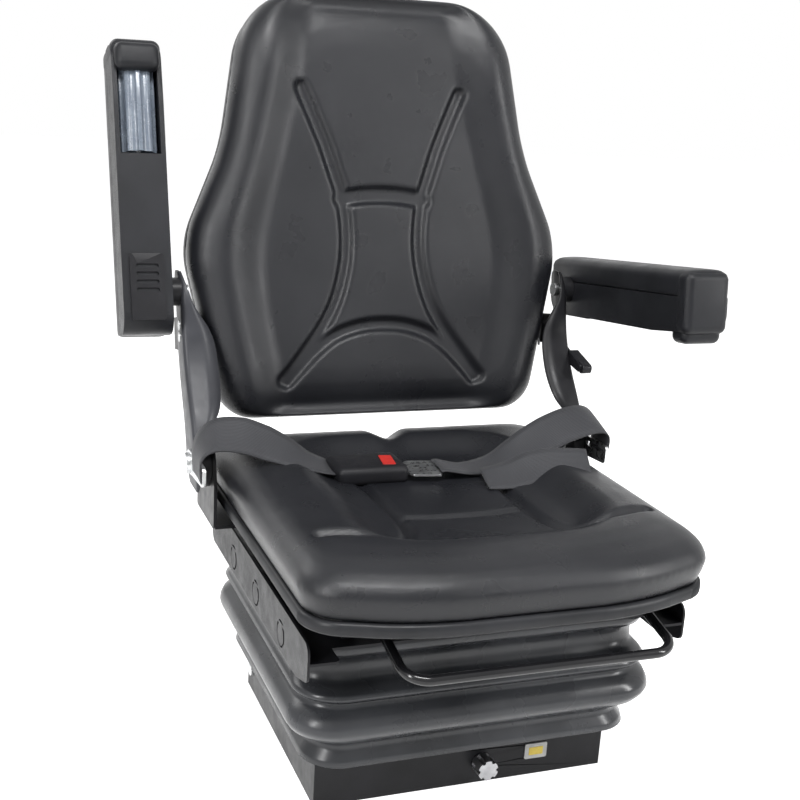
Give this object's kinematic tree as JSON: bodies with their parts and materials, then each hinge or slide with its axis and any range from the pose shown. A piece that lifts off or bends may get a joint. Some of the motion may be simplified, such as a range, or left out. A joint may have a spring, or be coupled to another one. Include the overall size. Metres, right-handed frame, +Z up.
{
  "type": "machine seat",
  "caption": "Suspension seat of an agricultural machine with folding armrests, reclining back, lap belt and bellows-covered scissor base.",
  "frame": {"origin": "centre of the base frame's underside, on the plane it stands on", "axes": "+Z up, the sitter looks along -Y, +X is the sitter's left hand"},
  "size_m": [0.656, 0.6372, 0.8568],
  "materials": {
    "black_paint": "satin black powder coat",
    "gloss_black": "gloss black paint",
    "grey_paint": "semi-gloss grey paint on pressed steel",
    "zinc": "bright zinc plate",
    "spring_steel": "oiled spring steel",
    "black_plastic": "fine-grained black moulding",
    "armrest_skin": "soft black moulded skin",
    "vinyl": "satin black vinyl with a fine grain",
    "welt": "finely ribbed black band",
    "bellows_rubber": "smooth satin black moulded rubber",
    "webbing": "dark grey woven webbing",
    "wheel_plastic": "smoky blue-grey translucent plastic",
    "button_red": "red plastic",
    "window_grey": "light grey plastic"
  },
  "bodies": {
    "base": {"base_frame": "black_paint", "roller_tracks_lower": "black_paint", "hinge_shaft_lower": "zinc", "weight_window": "window_grey", "damper_foot": "black_paint", "bellows": "bellows_rubber", "suspension_springs": "spring_steel"},
    "spring_carrier": {"spring_carrier": "black_paint"},
    "weight_knob": {"weight_knob": "black_plastic"},
    "outer_links": {"outer_links": "black_paint"},
    "upper_rollers": {"upper_rollers": "black_plastic"},
    "inner_links": {"inner_links": "black_paint"},
    "lower_rollers": {"lower_rollers": "black_plastic"},
    "damper_tube": {"damper_tube": "black_plastic"},
    "damper_rod": {"damper_rod": "zinc"},
    "suspension": {"upper_frame": "black_paint", "roller_tracks_upper": "black_paint", "hinge_shaft_upper": "zinc", "damper_head": "black_paint", "skirt": "black_plastic", "slide_rails_lower": "black_paint"},
    "seat": {"slide_rails_upper": "zinc", "seat_pan": "black_paint", "edge_trim": "welt", "seat_cushion": "vinyl", "hinge_brackets": "black_paint", "hinge_bolts": "zinc", "belt_anchors": "zinc", "belt_webbing_left": "webbing", "belt_webbing_right": "webbing", "belt_tail": "webbing", "buckle_body": "black_plastic", "belt_tongue": "zinc", "handle_pins": "zinc"},
    "slide_handle": {"slide_handle": "gloss_black"},
    "backrest": {"side_arm_left": "grey_paint", "side_arm_right": "grey_paint", "recliner_discs": "zinc", "backrest_shell": "black_plastic", "backrest_cushion": "vinyl", "back_frame": "black_paint", "arm_screws": "zinc", "return_spring": "spring_steel", "lever_pin": "zinc", "armrest_bolts": "zinc", "armrest_spacers": "black_plastic"},
    "recliner_lever": {"recliner_lever": "black_plastic"},
    "armrest_left": {"armrest_housing_left": "black_plastic", "armrest_pad_left": "armrest_skin", "armrest_cover_left": "black_plastic", "armrest_axle_left": "zinc"},
    "armrest_right": {"armrest_housing_right": "black_plastic", "armrest_pad_right": "armrest_skin", "armrest_cover_right": "black_plastic", "armrest_axle_right": "zinc"},
    "wheel_left": {"armrest_wheel_left": "wheel_plastic"},
    "wheel_right": {"armrest_wheel_right": "wheel_plastic"},
    "buckle_button": {"buckle_button": "button_red"}
  },
  "joints": [
    {"name": "suspension_stroke", "type": "slide", "parent": "base", "child": "suspension", "axis": [0, 0, 1], "range_m": [-0.08, 0], "stiffness_N_per_m": 5000, "springref_m": 0.1, "deforming": ["bellows", "suspension_springs"]},
    {"name": "outer_links_swing", "type": "hinge", "parent": "base", "child": "outer_links", "pos_m": [0, 0.13, 0.03], "axis": [1, 0, 0], "range_deg": [0, 19]},
    {"name": "inner_links_swing", "type": "hinge", "parent": "suspension", "child": "inner_links", "pos_m": [0, 0.13, 0.18], "axis": [1, 0, 0], "range_deg": [-19, 0]},
    {"name": "upper_rollers_roll", "type": "hinge", "parent": "outer_links", "child": "upper_rollers", "pos_m": [0, -0.0945, 0.18], "axis": [1, 0, 0], "range_deg": [-210, 0]},
    {"name": "lower_rollers_roll", "type": "hinge", "parent": "inner_links", "child": "lower_rollers", "pos_m": [0, -0.0945, 0.03], "axis": [1, 0, 0], "range_deg": [0, 210]},
    {"name": "damper_swing", "type": "hinge", "parent": "base", "child": "damper_tube", "pos_m": [0, 0.088, 0.036], "axis": [1, 0, 0], "range_deg": [0, 18.5]},
    {"name": "damper_stroke", "type": "slide", "parent": "damper_tube", "child": "damper_rod", "axis": [0, -0.8216, 0.5701], "range_m": [-0.037, 0]},
    {"name": "weight_turn", "type": "hinge", "parent": "base", "child": "weight_knob", "pos_m": [0.022, -0.16, 0.026], "axis": [0, -1, 0], "range_deg": [0, 1800]},
    {"name": "carrier_draw", "type": "slide", "parent": "base", "child": "spring_carrier", "axis": [0, -1, 0], "range_m": [0, 0.0075], "deforming": ["suspension_springs"]},
    {"name": "seat_slide", "type": "slide", "parent": "suspension", "child": "seat", "axis": [0, 1, 0], "range_m": [-0.12, 0.03]},
    {"name": "handle_lift", "type": "hinge", "parent": "seat", "child": "slide_handle", "pos_m": [0, -0.165, 0.238], "axis": [-1, 0, 0], "range_deg": [0, 6], "stiffness_Nm_per_rad": 12, "springref_deg": -5.73},
    {"name": "backrest_recline", "type": "hinge", "parent": "seat", "child": "backrest", "pos_m": [0, 0.125, 0.312], "axis": [-1, 0, 0], "range_deg": [-10, 20]},
    {"name": "lever_pull", "type": "hinge", "parent": "backrest", "child": "recliner_lever", "pos_m": [0.258, 0.198, 0.424], "axis": [-1, 0, 0], "range_deg": [0, 25], "stiffness_Nm_per_rad": 0.3, "springref_deg": -17.19},
    {"name": "armrest_left_fold", "type": "hinge", "parent": "backrest", "child": "armrest_left", "pos_m": [0.27, 0.215, 0.5], "axis": [-1, 0, 0], "range_deg": [0, 100.6]},
    {"name": "armrest_right_fold", "type": "hinge", "parent": "backrest", "child": "armrest_right", "pos_m": [-0.27, 0.215, 0.5], "axis": [-1, 0, 0], "range_deg": [-100.6, 0]},
    {"name": "wheel_left_turn", "type": "hinge", "parent": "armrest_left", "child": "wheel_left", "pos_m": [0.299, 0.00482, 0.51096], "axis": [0, -0.993, 0.1184], "continuous": true},
    {"name": "wheel_right_turn", "type": "hinge", "parent": "armrest_right", "child": "wheel_right", "pos_m": [-0.299, 0.26444, 0.70458], "axis": [0, 0.299, 0.9542], "continuous": true},
    {"name": "button_press", "type": "slide", "parent": "seat", "child": "buckle_button", "axis": [0, 0, -1], "range_m": [0, 0.0035], "stiffness_N_per_m": 900, "springref_m": -0.002}
  ],
  "couplings": [
    {"joint": "outer_links_swing", "follows": "suspension_stroke", "rad_per_m": -4.13},
    {"joint": "inner_links_swing", "follows": "suspension_stroke", "rad_per_m": 4.13},
    {"joint": "upper_rollers_roll", "follows": "suspension_stroke", "rad_per_m": 45.4},
    {"joint": "lower_rollers_roll", "follows": "suspension_stroke", "rad_per_m": -45.4},
    {"joint": "damper_swing", "follows": "suspension_stroke", "rad_per_m": -3.995},
    {"joint": "damper_stroke", "follows": "suspension_stroke", "ratio": 0.46},
    {"joint": "weight_turn", "follows": "carrier_draw", "rad_per_m": 4188.8}
  ]
}
